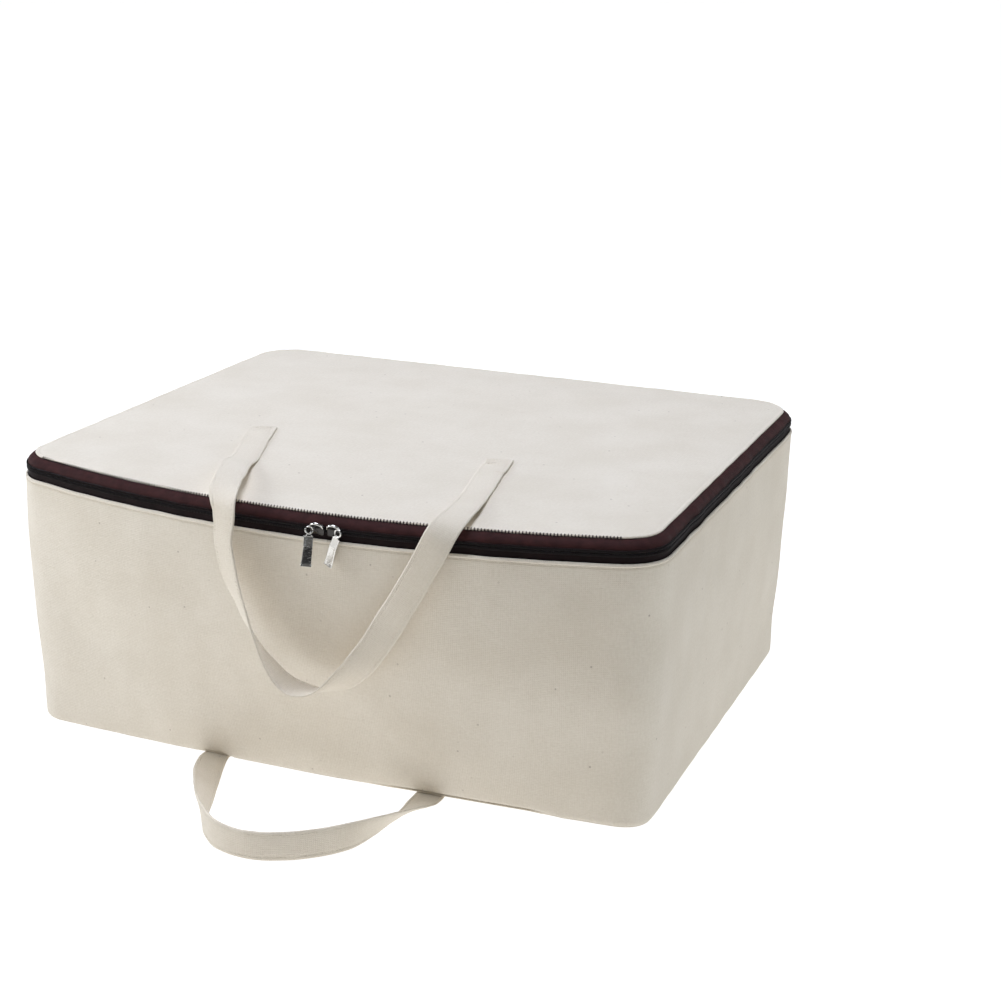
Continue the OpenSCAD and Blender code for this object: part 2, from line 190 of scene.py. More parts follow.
def distance_along(points):
    """Running length along a line of points."""
    steps = np.linalg.norm(np.diff(points, axis=0), axis=1)
    return np.concatenate([[0], np.cumsum(steps)])


def resample(points, values, places):
    """Values given at the points of a line, read off at places along it."""
    at = distance_along(points)
    return np.stack([np.interp(places, at, values[:, k]) for k in range(values.shape[1])], 1)


# ---- Outlines of the bag ----


def arc(cx, cy, r, start, end, count):
    """Points of an arc between two angles in degrees."""
    angles = np.radians(np.linspace(start, end, count + 1))
    return np.stack([cx + r * np.cos(angles), cy + r * np.sin(angles)], 1)


def straight(a, b, count):
    return np.linspace(a, b, count + 1)


def opened_out(z):
    """How far the wall at height z has come out from the foot to the full width, from 0 to 1."""
    return math.sin(math.pi / 2 * min(z, WALL_H) / WALL_H)


def back_line(z):
    """Where the back of the bag is at height z."""
    return BACK_Y - FOOT_TAPER_D * (1 - opened_out(z))


def outline(z, inset=0.0):
    """The wall's line at height z, from the right back seam round the front to the left back seam."""
    opened = opened_out(z)
    half_w = HALF_W - FOOT_TAPER * (1 - opened)
    back_y = back_line(z)
    chord_y = CHORD_Y + FOOT_TAPER_D * (1 - opened)
    bow = FOOT_BOW + (BOW - FOOT_BOW) * opened
    front_r = FRONT_R - FOOT_CORNER * (1 - opened)
    arc_r = (half_w**2 + bow**2) / (2 * bow)
    arc_cy = chord_y - bow + arc_r
    corner_x = half_w - front_r
    corner_y = arc_cy - math.sqrt((arc_r - front_r) ** 2 - corner_x**2)
    turn = math.degrees(math.atan2(corner_y - arc_cy, corner_x))
    back = arc(half_w - BACK_R, back_y - BACK_R, BACK_R - inset, 90, 0, 22)
    side = straight((half_w - inset, back_y - BACK_R), (half_w - inset, corner_y), 84)
    corner = arc(corner_x, corner_y, front_r - inset, 0, turn, 20)
    start = straight((SEAM_X, back_y - inset), back[0], 5)
    right = np.concatenate([start[:-1], back[:-1], side[:-1], corner])
    front = arc(0, arc_cy, arc_r - inset, turn, -180 - turn, 150)
    left = right[::-1] * (-1, 1)
    return np.concatenate([right, front[1:-1], left])


def outwards(z):
    """Unit directions out of the wall, for each point of the outline."""
    return unit(outline(z, -0.001) - outline(z))


TOP_LINE = outline(WALL_H)
ROUND = distance_along(TOP_LINE)  # distance round the wall, for each point of the outline
MIDDLE = ROUND[-1] / 2  # the middle of the front


def wall_bumps(z):
    """How far the soft wall stands out or in from its plain shape, at height z."""
    free = step(z, 0.004, 0.045) * (1 - step(z, WALL_H - 0.06, WALL_H - 0.004))
    near_zip = math.exp(-max(WALL_H - z, 0) / 0.016)
    from_seams = step(np.minimum(ROUND, ROUND[-1] - ROUND), 0.0, 0.05)
    return from_seams * (
        0.0021 * free * waves(ROUND, z, 0.17, 3)
        + 0.0007 * free * waves(ROUND, z, 0.055, 5)
        + 0.0003 * waves(ROUND, z * 0.35, 0.022, 8)
        + 0.0004 * near_zip * waves(ROUND, z * 0.2, 0.014, 9)
    )


def wall_line(z, offset):
    """Points at height z and this offset from the soft wall."""
    return outline(z) + outwards(z) * (offset + wall_bumps(z))[:, None]


def closed_line(z, inset):
    """The outline closed across the back, for the base and the lid."""
    line = outline(z, inset)
    back = straight(line[-1], line[0], 110)[1:-1]
    return np.concatenate([line, back])


# ---- Meshes ----


def grid_faces(rows, cols, round_cols=False, round_rows=False):
    """Quads between the points of a grid that is stored row by row."""
    faces = []
    for i in range(rows if round_rows else rows - 1):
        row, next_row = i * cols, (i + 1) % rows * cols
        for j in range(cols if round_cols else cols - 1):
            k = (j + 1) % cols
            faces.append((row + j, row + k, next_row + k, next_row + j))
    return faces


def cloth_line(along, height):
    """Places on the flat cloth for a line of points that lies at one height."""
    return np.column_stack([along, np.full_like(along, height), along * 0])


def tube_faces(count, sides):
    """Faces of a tube that is stored ring by ring, with both ends closed."""
    last = (count - 1) * sides
    faces = grid_faces(count, sides, round_cols=True)
    return faces + [tuple(range(sides))[::-1], tuple(range(last, last + sides))]


def new_piece(name, points, faces, material, cloth=None):
    """A smooth mesh object. cloth holds each point's place on the flat cloth, for the weave."""
    mesh = bpy.data.meshes.new(name)
    mesh.from_pydata(np.asarray(points, float).tolist(), [], faces)
    mesh.polygons.foreach_set("use_smooth", [True] * len(mesh.polygons))
    attribute = mesh.attributes.new("cloth", "FLOAT_VECTOR", "POINT")
    places = np.asarray(points if cloth is None else cloth, np.float32)
    attribute.data.foreach_set("vector", places.ravel())
    mesh.materials.append(material)
    mesh.update()
    obj = bpy.data.objects.new(name, mesh)
    bpy.context.scene.collection.objects.link(obj)
    return obj


def face_outwards(obj):
    """Turns a closed mesh's faces so that they all look out."""
    mesh = obj.data
    mesh.calc_loop_triangles()
    corners = np.array([t.vertices for t in mesh.loop_triangles])
    co = np.array([v.co for v in mesh.vertices])
    a, b, c = co[corners[:, 0]], co[corners[:, 1]], co[corners[:, 2]]
    if np.einsum("ij,ij->i", a, np.cross(b, c)).sum() < 0:
        mesh.flip_normals()
    return obj


def sheet(name, rows, material, cloth=None, ends=False):
    """A sheet whose section is a closed row of lines. ends closes its two sides."""
    rows = np.array(rows)
    count, cols = rows.shape[:2]
    faces = grid_faces(count, cols, round_rows=True)
    if ends:
        edge = np.arange(count) * cols
        faces += [tuple(edge)[::-1], tuple(edge + cols - 1)]
    if cloth is not None:
        cloth = np.array(cloth).reshape(-1, 3)
    return new_piece(name, rows.reshape(-1, 3), faces, material, cloth)


def settle(piece, body, slot, *nodes):
    """Rides the piece on its body and lets it stand for its solids."""
    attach(piece, body)
    if nodes:
        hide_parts(*nodes)
    return piece


# ---- Materials ----


class Shader:
    """A material under construction, with short calls for the nodes that it uses."""

    def __init__(self, name, roughness, **sockets):
        self.material = bpy.data.materials.new(name)
        self.material.use_nodes = True
        self.tree = self.material.node_tree
        self.surface = self.tree.nodes["Principled BSDF"]
        self.surface.inputs["Roughness"].default_value = roughness
        for socket, value in sockets.items():
            self.surface.inputs[socket.replace("_", " ")].default_value = value

    def node(self, kind, **settings):
        """A new node. Each setting is one of its properties or else one of its inputs."""
        made = self.tree.nodes.new("ShaderNode" + kind)
        for key, value in settings.items():
            if hasattr(made, key):
                setattr(made, key, value)
            else:
                made.inputs[key.replace("_", " ")].default_value = value
        return made

    def link(self, source, target):
        self.tree.links.new(source, target)

    def cloth(self):
        """The point's place on the flat cloth."""
        return self.node("Attribute", attribute_name="cloth").outputs["Vector"]

    def cloth_place(self, scale):
        """The point's place on the flat cloth, scaled."""
        scaled = self.node("VectorMath", operation="MULTIPLY")
        scaled.inputs[1].default_value = scale
        self.link(self.cloth(), scaled.inputs[0])
        return scaled.outputs[0]

    def noise(self, scale, detail=2.0):
        """Noise of the cloth, with a scale for each direction."""
        made = self.node("TexNoise", Scale=1.0, Detail=detail)
        self.link(self.cloth_place(scale), made.inputs["Vector"])
        return made.outputs["Fac"]

    def bands(self, scale, direction, distortion=0.0):
        """Stripes with this many to the metre."""
        made = self.node("TexWave", bands_direction=direction, Scale=scale * 2 * math.pi / 20,
                         Distortion=distortion, Detail=1.0)
        self.link(self.cloth(), made.inputs["Vector"])
        return made.outputs["Fac"]

    def math(self, operation, a, b=0.0):
        made = self.node("Math", operation=operation)
        for socket, value in zip(made.inputs, (a, b)):
            if isinstance(value, (int, float)):
                socket.default_value = value
            else:
                self.link(value, socket)
        return made.outputs[0]

    def plus(self, a, b):
        return self.math("ADD", a, b)

    def times(self, a, b):
        return self.math("MULTIPLY", a, b)

    def ramp(self, factor, low, high, clear=0.0, full=1.0):
        """Maps factor from low..high to clear..full."""
        made = self.node("MapRange", interpolation_type="SMOOTHSTEP",
                         From_Min=low, From_Max=high, To_Min=clear, To_Max=full)
        self.link(factor, made.inputs["Value"])
        return made.outputs["Result"]

    def mix(self, factor, a, b):
        """Mixes two colours, each a tuple or a socket."""
        made = self.node("Mix", data_type="RGBA")
        self.link(factor, made.inputs["Factor"])
        for socket, value in ((made.inputs[6], a), (made.inputs[7], b)):
            if isinstance(value, tuple):
                socket.default_value = (*value, 1)
            else:
                self.link(value, socket)
        return made.outputs[2]

    def finish(self, colour, height=None, depth=0.0001, strength=1.0, roughness=None):
        self.link(colour, self.surface.inputs["Base Color"])
        if roughness is not None:
            self.link(roughness, self.surface.inputs["Roughness"])
        if height is not None:
            bump = self.node("Bump", Strength=strength, Distance=depth)
            self.link(height, bump.inputs["Height"])
            self.link(bump.outputs["Normal"], self.surface.inputs["Normal"])
        return self.material


def canvas_material(name, light, dark, threads=1250, flecks=0.5, depth=0.00022):
    """Plain-woven natural cotton with slubs and small seed flecks."""
    s = Shader(name, roughness=0.92, Sheen_Weight=0.25, Sheen_Roughness=0.6, Specular_IOR_Level=0.2)
    weave = s.times(s.bands(threads / 2, "X", 0.5), s.bands(threads / 2, "Y", 0.5))
    slubs = s.plus(s.noise((1400, 60, 60)), s.noise((60, 1400, 60)))
    patches = s.noise((16, 16, 16), 4.0)
    fuzz = s.noise((420, 420, 420), 3.0)
    grain = s.plus(s.times(slubs, 0.20), s.times(patches, 0.40))
    grain = s.plus(grain, s.times(fuzz, 0.35))
    tone = s.ramp(s.plus(grain, s.times(weave, 0.05)), 0.40, 0.80)
    cells = s.node("TexVoronoi", Scale=1.0, Randomness=1.0)
    s.link(s.cloth_place((105, 105, 105)), cells.inputs["Vector"])
    chosen = s.node("SeparateColor")
    s.link(cells.outputs["Color"], chosen.inputs["Color"])
    near = s.ramp(cells.outputs["Distance"], 0.06, 0.14, 1.0, 0.0)
    fleck = s.times(near, s.ramp(chosen.outputs["Red"], 0.80, 0.99, 0.0, flecks))
    colour = s.mix(fleck, s.mix(tone, dark, light), (0.20, 0.13, 0.07))
    height = s.plus(weave, s.times(s.plus(slubs, fuzz), 0.8))
    return s.finish(colour, height, depth, 0.85)


def thread_material(name, light, dark):
    """Twisted sewing thread."""
    s = Shader(name, roughness=0.8, Sheen_Weight=0.2)
    colour = s.mix(s.noise((3000, 3000, 3000)), dark, light)
    return s.finish(colour, s.bands(2500, "DIAGONAL"), 0.0001, 0.6)


def tape_material(name, light, dark):
    """Herringbone-woven polyester tape."""
    s = Shader(name, roughness=0.8, Sheen_Weight=0.02, Specular_IOR_Level=0.15)
    ribs = s.times(s.bands(1500, "X", 1.0), s.bands(900, "Y", 0.6))
    patches = s.times(s.noise((120, 120, 120), 3.0), 0.8)
    tone = s.ramp(s.plus(patches, s.times(ribs, 0.35)), 0.25, 0.85)
    return s.finish(s.mix(tone, dark, light), ribs, 0.00015, 0.8)


def coil_material():
    """Polyester coil, nearly black, with a slight gloss."""
    s = Shader("coil_polyester", roughness=0.42, Specular_IOR_Level=0.3)
    tone = s.noise((400, 400, 400))
    return s.finish(
        s.mix(tone, (0.006, 0.004, 0.004), (0.014, 0.009, 0.009)),
        s.noise((2500, 2500, 2500)),
        0.00005,
        0.4,
        s.ramp(tone, 0.2, 0.8, 0.30, 0.50),
    )


def nickel_material(name, light, dark):
    """Bright nickel plate with faint rub marks."""
    s = Shader(name, roughness=0.16, Metallic=1.0)
    marks = s.noise((220, 220, 1600), 4.0)
    return s.finish(
        s.mix(marks, dark, light),
        s.noise((900, 900, 900), 3.0),
        0.00004,
        0.25,
        s.ramp(marks, 0.3, 0.75, 0.10, 0.30),
    )


def floor_material():
    s = Shader("studio_floor", roughness=0.9, Specular_IOR_Level=0.1)
    s.surface.inputs["Emission Color"].default_value = (1, 1, 1, 1)
    s.surface.inputs["Emission Strength"].default_value = 0.97
    return s.finish(s.mix(s.noise((3, 3, 3)), (0.20, 0.20, 0.20), (0.22, 0.22, 0.22)))


CANVAS = canvas_material("canvas", (0.83, 0.760, 0.645), (0.73, 0.655, 0.535))
STRAP_CANVAS = canvas_material("strap_canvas", (0.83, 0.755, 0.635), (0.74, 0.66, 0.535), flecks=0.35)
BINDING = canvas_material("binding_cotton", (0.76, 0.69, 0.58), (0.64, 0.57, 0.46), 1600, 0.15, 0.0001)
THREAD = thread_material("cotton_thread", (0.84, 0.78, 0.67), (0.70, 0.63, 0.51))
THREAD_BROWN = thread_material("brown_thread", (0.040, 0.018, 0.016), (0.020, 0.009, 0.008))
TAPE_BROWN = tape_material("zip_tape_brown", (0.062, 0.019, 0.018), (0.028, 0.009, 0.009))
# The lower zip tape is the same tape painted darker: painted shade, because it faces down, away from the
# light.
TAPE_PAINTED_SHADE = tape_material("zip_tape_dark", (0.020, 0.010, 0.010), (0.009, 0.005, 0.005))
COIL = coil_material()
NICKEL = nickel_material("nickel", (0.86, 0.84, 0.80), (0.66, 0.64, 0.60))
# A darkened copy of the nickel for the slider bodies: painted dark reflection, as if the plated body
# mirrored dark surroundings.
NICKEL_PAINTED_DARK_REFLECTION = nickel_material("dark_nickel", (0.085, 0.080, 0.076), (0.040, 0.037, 0.035))


# ---- Walls ----


def foot_lift(line):
    """How far the foot of the wall stands off the floor: over the straps, and where the seam shows."""
    x = line[:, 0]
    front = step(-line[:, 1], 0.15, 0.20)
    lift = np.full(len(line), FOOT_GAP)
    for exit_x in STRAP_EXITS:
        lift = np.maximum(lift, EXIT_LIFT * np.exp(-(((x - exit_x) / EXIT_HALF_W) ** 4)))
    seam_shows = step(x, -0.01, 0.10) * (1 - step(x, 0.19, 0.235))
    return FOOT_GAP + (np.maximum(lift, SEAM_LIFT * seam_shows) - FOOT_GAP) * front


def foot_inset(z):
    """The foot of the wall rolls in towards the seam."""
    low = max(FOOT_ROUND - z, 0)
    return FOOT_ROUND - math.sqrt(FOOT_ROUND**2 - low**2)


def hem_swell(z):
    """The folded hem below the zip stands out, with a groove along its stitches."""
    up = (z - (WALL_H - HEM)) / HEM
    groove = -0.0005 * math.exp(-((up / 0.22) ** 2))
    return groove + (0.0006 * math.sin(math.pi * min(up, 1)) if up > 0 else 0)


def wall_section():
    """(height, offset) rows: up the outside, over the fold and down the inside."""
    low = [(z, -foot_inset(z)) for z in np.linspace(0, 0.014, 9)]
    middle = [(z, 0) for z in np.linspace(0.018, WALL_H - 0.012, 56)]
    high = [(z, hem_swell(z)) for z in np.linspace(WALL_H - 0.009, WALL_H - CANVAS_T / 2, 13)]
    fold = [
        (WALL_H - CANVAS_T / 2 * (1 - math.sin(a)), -CANVAS_T / 2 * (1 - math.cos(a)))
        for a in np.linspace(0.4, math.pi - 0.4, 5)
    ]
    inside = [(z, -CANVAS_T) for z in np.linspace(WALL_H - CANVAS_T / 2, 0.010, 48)]
    return low + middle + high + fold + inside + [(0.004, -CANVAS_T - foot_inset(0.004))]


def make_wall():
    """The strip of canvas round the front and both sides, from one back seam to the other."""
    rows, cloth = [], []
    lift = foot_lift(outline(0))
    for z, offset in wall_section():
        line = wall_line(z, offset)
        raised = z + lift * (1 - step(z, 0, 0.022))
        rows.append(np.column_stack([line, raised]))
        cloth.append(cloth_line(ROUND, z + (offset < -0.001)))
    settle(sheet("canvas_wall", rows, CANVAS, cloth), "case", "canvas", "wall_band")


def make_back():
    """Back wall between the two back seams, a closed sheet with soft bulges."""
    xs = np.linspace(-SEAM_X, SEAM_X, 150)
    low, high = 0.001, ZIP_Z - 0.004
    outside = [(z, 0.0) for z in np.linspace(low, high, 60)]
    inside = [(z, -CANVAS_T) for z in np.linspace(high, low, 40)]
    rows, cloth = [], []
    for z, offset in outside + inside:
        y = back_line(z) - foot_inset(z)
        free = step(SEAM_X - np.abs(xs), 0, 0.05) * step(z, 0, 0.04) * (1 - step(z, high - 0.05, high))
        soft = 0.002 * free * waves(xs, z, 0.15, 21) + 0.004 * free
        dip = -0.0010 * np.exp(-((SEAM_X - np.abs(xs)) / 0.002) ** 2)
        rows.append(np.column_stack([xs, y + offset + soft + dip, np.full_like(xs, z)]))
        cloth.append(cloth_line(xs, z + 2 + (offset < 0)))
    back = face_outwards(sheet("canvas_back", rows, CANVAS, cloth))
    settle(back, "case", "canvas", "back_panel")


# ---- Flat round panels: base and lid ----


def panel(name, rings, heights, material, plane_offset):
    """A closed sheet from rings of points, from the middle of one face round the edge to the other."""
    rows = [
        np.column_stack([ring, np.broadcast_to(height, len(ring))])
        for ring, height in zip(rings, heights)
    ]
    points = np.concatenate(rows)
    cloth = points * (1, 1, 0) + (plane_offset, 0, 0)
    faces = tube_faces(len(rows), len(rows[0]))
    return face_outwards(new_piece(name, points, faces, material, cloth))


SHARES = np.concatenate([[0.01, 0.03], np.linspace(0.06, 0.985, 44)])
CENTRE = np.array([0.0, -0.02])  # where a panel's rings shrink to
BASE_EDGE = ((0.0045, 0.0012), (0.0032, 0.0024), (0.0026, 0.0036), (0.0030, 0.0044))  # inset, height


def inner_rings(edge, shares):
    """Rings inside an edge, each the edge shrunk to a share of its size."""
    return [CENTRE + (edge - CENTRE) * share for share in shares]


def base_underside(ring):
    """The underside hollows up off the floor so that the sewn strap ends lie under it."""
    gap = foot_lift(ring)
    edge = closed_line(0, FOOT_ROUND)
    inside = np.min(np.linalg.norm(edge[None, ::4] - ring[:, None], axis=2), axis=1)
    return np.maximum(0.0003 + 0.0025 * step(inside, 0.003, 0.012), gap * (inside < 0.012))


def make_base():
    """The bottom of the bag, a sheet with a rounded edge inside the foot of the wall."""
    edge_in = closed_line(0, FOOT_ROUND)
    rings = inner_rings(edge_in, SHARES) + [edge_in]
    heights = [base_underside(ring) for ring in rings]
    for inset, z in BASE_EDGE:
        rings.append(closed_line(z, inset))
        heights.append(np.maximum(z, foot_lift(rings[-1]) * 0.8))
    for ring in inner_rings(closed_line(0.004, 0.004), SHARES[::-1]):
        rings.append(ring)
        heights.append(0.0046 + 0.0004 * waves(ring[:, 0], ring[:, 1], 0.12, 31))
    base = panel("canvas_base", rings, heights, CANVAS, 4)
    settle(base, "case", "canvas", "bottom_panel")


def lid_height(x, y):
    """Height of the lid's top face: nearly flat, softly crowned by the contents."""
    edge = np.maximum(np.abs(x) / (HALF_W - LID_INSET), np.abs(y + 0.02) / 0.27)
    crown = 0.0018 + 0.0011 * waves(x, y, 0.13, 41) + 0.0003 * waves(x, y, 0.045, 43)
    return LID_TOP + crown * (1 - step(edge, 0.62, 1.0))


LID_EDGE = (  # inset from the lid's edge, drop below its face
    (0.0100, 0), (0.0075, 0.0001), (0.0055, 0.0003), (0.0042, 0.0006), (0.0032, 0.0003), (0.0018, 0.0001),
    (0.0008, 0.0003), (0.0002, 0.0008), (0, 0.0013), (0.0003, 0.0019), (0.0010, 0.0023),
)


def make_lid():
    """The lid's sheet. Its edge is turned under: it swells over the fold and dips along the stitches."""
    flat_edge = closed_line(WALL_H, LID_INSET + 0.012)
    rings = inner_rings(flat_edge, SHARES)
    drops = [0] * len(rings)
    for inset, drop in LID_EDGE:
        ring = closed_line(WALL_H, LID_INSET + inset)
        places = np.arange(len(ring)) * 0.0045
        rings.append(ring)
        drops.append(drop - 0.00025 * waves(places, 0, 0.014, 45))
    rings += inner_rings(flat_edge, SHARES[::-1])
    drops += [CANVAS_T] * len(SHARES)
    heights = [lid_height(*ring.T) - drop for ring, drop in zip(rings, drops)]
    settle(panel("canvas_lid", rings, heights, CANVAS, 6), "lid", "canvas", "lid_panel")


# ---- Strips along the zip line ----


def sweep(name, section, material, soft=0.0, seed=0):
    """A closed section of (offset, height) points carried along the zip line."""
    rows, cloth = [], []
    run = 0.0
    for k, (offset, z) in enumerate(section):
        wobble = soft * waves(ROUND, z, 0.009, seed)
        line = TOP_LINE + outwards(WALL_H) * (offset + wobble + wall_bumps(min(z, WALL_H)))[:, None]
        rows.append(np.column_stack([line, np.full(len(line), z) + wobble * 0.5]))
        if k:
            run += math.dist(section[k - 1], section[k])
        cloth.append(cloth_line(ROUND, run))
    return face_outwards(sheet(name, rows, material, cloth, ends=True))


def ribbon_section(line, thickness):
    """A closed section of even thickness along a line of (offset, height) points."""
    line = np.array(line)
    along = unit(np.gradient(line, axis=0))
    normal = np.column_stack([-along[:, 1], along[:, 0]])
    one, other = line + normal * thickness / 2, line - normal * thickness / 2
    return [tuple(p) for p in one] + [tuple(p) for p in other[::-1]]


def curve(points, per_step=6):
    """A smooth line through points."""
    points = np.array(points, float)
    ends = np.concatenate([points[:1], points, points[-1:]])
    made = []
    for i in range(len(points) - 1):
        p0, p1, p2, p3 = ends[i : i + 4]
        for t in np.arange(per_step) / per_step:
            made.append(
                0.5 * (2 * p1 + (p2 - p0) * t + (2 * p0 - 5 * p1 + 4 * p2 - p3) * t**2
                       + (3 * p1 - p0 - 3 * p2 + p3) * t**3)
            )
    made.append(points[-1])
    return np.array(made)


def make_tapes():
    """The two halves of the zip tape. The upper one bends in under the lid."""
    middle = TAPE_FACE - TAPE_T / 2
    lower_line = [(middle, z) for z in np.linspace(WALL_H - HIDDEN_TAPE, ZIP_Z - SLIT, 9)]
    # Painted shade: the lower tape takes the darkened copy of the tape colour.
    lower = sweep("zip_tape_lower", ribbon_section(lower_line, TAPE_T), TAPE_PAINTED_SHADE, 0.00010, 51)
    settle(lower, "case", "zip_tape_dark", "lower_zip_tape")
    corners = [
        (middle, ZIP_Z + SLIT),
        (middle, BEND_Z),
        (-0.0045, BEND_Z + 0.0032),
        (-LID_INSET - 0.0002, LID_TAPE_Z + 0.0002),
        (-LID_INSET - 0.004, LID_TAPE_Z - 0.0006),
        (-LID_INSET - 0.009, LID_TAPE_Z - 0.0006),
    ]
    upper = sweep("zip_tape_upper", ribbon_section(curve(corners, 4), TAPE_T), TAPE_BROWN, 0.00028, 52)
    settle(upper, "lid", "zip_tape_brown", "upper_zip_tape")


def along_zip(places, z=WALL_H):
    """Points of the soft zip line, these distances round the bag, and the directions out of the wall."""
    out = unit(resample(TOP_LINE, outwards(WALL_H), places))
    bump = np.interp(places, ROUND, wall_bumps(min(z, WALL_H)))
    line = resample(TOP_LINE, TOP_LINE, places) + out * bump[:, None]
    return line, np.column_stack([out, np.zeros(len(out))])


def coil(name, sign, body, node):
    """One half of the zip's coil: a flattened helix that runs the whole length of the zip."""
    steps, sides, wire = 7, 4, 0.00034  # points to a turn, points round the wire, its radius
    turns = int(ROUND[-1] / COIL_PITCH)
    t = np.arange(turns * steps + 1) * 2 * math.pi / steps
    run = t / (2 * math.pi) * COIL_PITCH + (COIL_PITCH / 2 if sign < 0 else 0)
    run = np.clip(run, 0, ROUND[-1])
    reach = COIL_W / 2 + 0.0002
    centre_z = ZIP_Z + sign * (SLIT + COIL_W / 2 - 0.0004)
    z = centre_z - sign * reach * np.cos(t)
    lift = TAPE_FACE + COIL_H / 2 + (COIL_H / 2 - wire) * np.sin(t)
    line, out = along_zip(run)
    path = np.column_stack([line + out[:, :2] * lift[:, None], z])
    points, faces = tube(path, wire, 1.0, out, sides)
    settle(face_outwards(new_piece(name, points, faces, COIL)), body, "zip_coil", node)


def thread_stitches(name, centres, directions, ups, length, width, material=THREAD):
    """Rows of sewn stitches: small rounded bars, each along its direction, half sunk in the cloth."""
    sides = 6
    stations = ((-0.5, 0.25), (-0.36, 0.85), (0.0, 1.0), (0.36, 0.85), (0.5, 0.25))
    along = unit(directions)
    ups = unit(ups - along * np.einsum("ij,ij->i", ups, along)[:, None])
    side = np.cross(along, ups)
    rings = []
    for at, size in stations:
        for a in np.arange(sides) * 2 * math.pi / sides:
            radius = width / 2 * size
            rings.append(
                centres + along * length * at + side * radius * math.cos(a) + ups * radius * math.sin(a)
            )
    per = len(rings)
    points = np.stack(rings, 1).reshape(-1, 3)
    one = tube_faces(len(stations), sides)
    faces = [tuple(int(k) + n * per for k in face) for n in range(len(centres)) for face in one]
    return new_piece(name, points, faces, material)


def stitch_round(name, z, offset, pitch, length, width, slope, body, slot, material=THREAD, reach=1.0):
    """Stitches along the zip line, as far as reach each side of the middle of the front.
    slope is the stitch's own (along, out, up) direction."""
    places = np.arange(0.006, ROUND[-1] - 0.006, pitch)
    places = places[np.abs(places - MIDDLE) < reach]
    line, out = along_zip(places, z)
    centres = np.column_stack([line + out[:, :2] * offset, np.full(len(places), z)])
    onwards = np.column_stack([out[:, 1], -out[:, 0], out[:, 2]])
    up = np.array([0, 0, 1.0])
    directions = onwards * slope[0] + out * slope[1] + up * slope[2]
    facing = out * (slope[0] + abs(slope[2])) + up * abs(slope[1])
    piece = thread_stitches(name, centres, directions, facing, length, width, material)
    settle(piece, body, slot)


BOTTOM_BINDING = (  # inset from the wall's face, height
    (0.0035, 0.0052), (0.0033, 0.0060), (0.0045, 0.0064), (0.0095, 0.0062), (0.0120, 0.0060),
    (0.0125, 0.0055), (0.0120, 0.0050),
)
BACK_BINDING = (  # distance across the seam, depth into the bag
    (-0.0050, 0.0002), (-0.0046, 0.0009), (-0.0015, 0.0013), (0, 0.0015), (0.0015, 0.0013),
    (0.0046, 0.0009), (0.0050, 0.0002),
)


def make_bindings():
    """The tapes that bind the raw edges inside the bag's seams."""
    inner = TAPE_FACE - TAPE_T

    def strip(low, high):
        """Rounded section between two (offset, height) corners."""
        (x0, z0), (x1, z1) = low, high
        r = 0.0003
        return [(x0 + r, z0), (x1 - r, z0), (x1, z0 + r), (x1, z1 - r), (x1 - r, z1), (x0 + r, z1),
                (x0, z1 - r), (x0, z0 + r)]

    wall_strip = strip((inner - 0.0013, WALL_H - HIDDEN_TAPE), (inner - 0.0003, WALL_H - 0.002))
    wall = sweep("binding_wall_zip", wall_strip, BINDING, 0.00012, 61)
    settle(wall, "case", "seam_binding", "wall_zip_binding")
    under = LID_TAPE_Z - 0.0006
    lid_strip = strip((-LID_INSET - 0.009, under - 0.0019), (-LID_INSET - 0.003, under - 0.0007))
    lid = sweep("binding_lid_zip", lid_strip, BINDING, 0.00010, 62)
    settle(lid, "lid", "seam_binding", "lid_zip_binding")
    rows = []
    for inset, z in BOTTOM_BINDING:
        line = outline(0.005, inset)
        rows.append(np.column_stack([line, z + 0.0002 * waves(ROUND, 0, 0.02, 63)]))
    bottom = face_outwards(sheet("binding_bottom", rows, BINDING))
    settle(bottom, "case", "seam_binding", "bottom_seam_binding")
    for side, name in ((-1, "left"), (1, "right")):
        rows = []
        for z in np.linspace(0.012, WALL_H - 0.012, 60):
            y = back_line(z) - CANVAS_T
            rows.append([(side * SEAM_X + across, y - depth, z) for across, depth in BACK_BINDING])
        rows = np.array(rows)
        faces = grid_faces(*rows.shape[:2])
        piece = new_piece(f"binding_back_seam_{name}", rows.reshape(-1, 3), faces, BINDING)
        settle(piece, "case", "seam_binding", f"{name}_back_seam_binding")


def make_gusset():
    """The canvas between the zip's two ends."""
    xs = np.linspace(-SEAM_X + 0.0005, SEAM_X - 0.0005, 120)
    corners = [
        (-0.0012, ZIP_Z - 0.012),
        (-0.0008, ZIP_Z - 0.005),
        (-0.0008, ZIP_Z),
        (-0.0016, ZIP_Z + 0.005),
        (-0.0045, ZIP_Z + 0.0085),
        (-LID_INSET + 0.0004, LID_TAPE_Z + 0.0004),
        (-LID_INSET - 0.006, LID_TAPE_Z - 0.0004),
    ]
    rows, cloth = [], []
    for offset, z in ribbon_section(curve(corners, 5), 0.0011):
        soft = 0.0004 * waves(xs, z * 3, 0.05, 71)
        rows.append(np.column_stack([xs, BACK_Y + offset + soft, np.full_like(xs, z)]))
        cloth.append(cloth_line(xs, z + 8))
    gusset = face_outwards(sheet("canvas_back_gusset", rows, CANVAS, cloth))
    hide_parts("back_gusset")
    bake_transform(gusset)


# ---- Straps ----


def smoothed_route(route, per_step=8):
    """Middle line and direction across, for many places along a strap's stations."""
    middle = curve(route[:, :3], per_step) / 1000
    across = curve(route[:, 3:], per_step)
    along = unit(np.gradient(middle, axis=0))
    wide = unit(across - along * np.einsum("ij,ij->i", across, along)[:, None])
    return middle, along, wide


